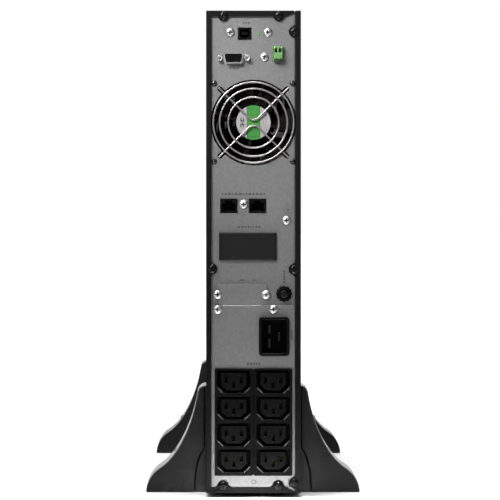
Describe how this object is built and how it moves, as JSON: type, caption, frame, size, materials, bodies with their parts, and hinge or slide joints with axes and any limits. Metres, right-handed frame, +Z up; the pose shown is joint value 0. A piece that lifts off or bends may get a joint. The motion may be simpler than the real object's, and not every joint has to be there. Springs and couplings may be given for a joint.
{
  "type": "rackmount ups",
  "caption": "Tower-standing rack UPS: sheet-steel case on plastic feet, grey rear panel with fan, sockets and outlet banks, front battery drawer and turning display.",
  "frame": {"origin": "on the floor, at the middle of the footprint of the case and its feet", "axes": "+Z up, the case standing on its feet; -Y is the rear socket face, +Y the front bezel; +X is to the right when looking at the rear"},
  "size_m": [0.1986, 0.6, 0.444],
  "materials": {
    "case_black": "fine-textured satin black powder coat",
    "panel_grey": "satin light grey paint",
    "plate_grey": "satin light grey paint",
    "black_plastic": "matt moulded, fine spark texture",
    "bezel_plastic": "matt moulded front",
    "foot_plastic": "matt charcoal moulding",
    "bright_screw": "bright zinc plate",
    "black_screw": "black oxide, slightly shiny",
    "guard_wire": "nickel-plated wire",
    "fan_plastic": "black moulded",
    "fan_sticker": "printed label, white with a green band",
    "tin_shell": "tin-plated steel",
    "green_plastic": "moulded green",
    "blade_metal": "nickel-plated blades",
    "contact_brass": "spring brass",
    "board_green": "glass-epoxy board with components",
    "heatsink_metal": "extruded, plain",
    "can_sleeve": "shrink sleeve",
    "winding": "enamelled copper on ferrite",
    "relay_plastic": "moulded relay cans",
    "zinc_sheet": "zinc-plated sheet",
    "slide_plastic": "natural low-friction plastic",
    "battery_case": "moulded battery case",
    "display_glass": "tinted display window",
    "key_plastic": "moulded keys",
    "handle_black": "soft grip"
  },
  "bodies": {
    "case": {"chassis_tray": "case_black", "side_cover": "case_black", "rear_panel": "panel_grey", "outlet_plate": "plate_grey", "battery_port_cover": "panel_grey", "battery_port": "black_plastic", "slot_cover": "black_plastic", "cover_screws": "black_screw", "panel_screws": "bright_screw", "fan_guard": "guard_wire", "fan_frame": "fan_plastic", "fan_label": "fan_sticker", "usb_port": "black_plastic", "serial_shell": "tin_shell", "serial_insert": "black_plastic", "jack_screws": "tin_shell", "epo_socket": "green_plastic", "epo_plug": "green_plastic", "network_jack_left": "black_plastic", "network_jack_right": "black_plastic", "jack_contacts": "contact_brass", "breaker_body": "black_plastic", "breaker_nut": "black_plastic", "inlet_housing": "black_plastic", "inlet_blades": "blade_metal", "outlet_block_left": "black_plastic", "outlet_block_right": "black_plastic", "outlet_contacts": "contact_brass", "comm_board": "board_green", "power_board": "board_green", "inverter_board": "board_green", "heatsinks": "heatsink_metal", "bulk_capacitors": "can_sleeve", "inductors": "winding", "transformer": "winding", "relays": "relay_plastic", "emi_filter": "zinc_sheet", "bay_divider": "zinc_sheet", "bay_slides": "slide_plastic", "front_bezel": "bezel_plastic", "display_retainer": "black_plastic", "stand_rear_left": "foot_plastic", "stand_rear_right": "foot_plastic", "stand_front_left": "foot_plastic", "stand_front_right": "foot_plastic"},
    "impeller": {"fan_rotor": "fan_plastic"},
    "reset_button": {"breaker_button": "black_plastic"},
    "drawer": {"battery_tray": "zinc_sheet", "batteries": "battery_case", "battery_links": "zinc_sheet", "battery_front_plate": "zinc_sheet", "tray_handle": "handle_black"},
    "door": {"battery_door": "bezel_plastic"},
    "display": {"display_turntable": "bezel_plastic", "display_window": "display_glass", "display_board": "board_green"},
    "power_key": {"power_button": "key_plastic"},
    "menu_key": {"menu_button": "key_plastic"},
    "enter_key": {"enter_button": "key_plastic"}
  },
  "joints": [
    {"name": "fan_spin", "type": "hinge", "parent": "case", "child": "impeller", "pos_m": [0, -0.28, 0.342], "axis": [0, 1, 0], "continuous": true},
    {"name": "breaker_pop", "type": "slide", "parent": "case", "child": "reset_button", "axis": [0, -1, 0], "range_m": [0, 0.0035]},
    {"name": "drawer_slide", "type": "slide", "parent": "case", "child": "drawer", "axis": [0, 1, 0], "range_m": [0, 0.22]},
    {"name": "door_off", "type": "slide", "parent": "case", "child": "door", "axis": [0, 1, 0], "range_m": [0, 0.27]},
    {"name": "display_turn", "type": "hinge", "parent": "case", "child": "display", "pos_m": [0, 0.29, 0.384], "axis": [0, 1, 0], "range_deg": [0, 90]},
    {"name": "power_press", "type": "slide", "parent": "display", "child": "power_key", "axis": [0, -1, 0], "range_m": [0, 0.001], "stiffness_N_per_m": 250},
    {"name": "menu_press", "type": "slide", "parent": "display", "child": "menu_key", "axis": [0, -1, 0], "range_m": [0, 0.001], "stiffness_N_per_m": 250},
    {"name": "enter_press", "type": "slide", "parent": "display", "child": "enter_key", "axis": [0, -1, 0], "range_m": [0, 0.001], "stiffness_N_per_m": 250}
  ],
  "couplings": [
    {"joint": "door_off", "follows": "drawer_slide", "ratio": 1.2}
  ]
}
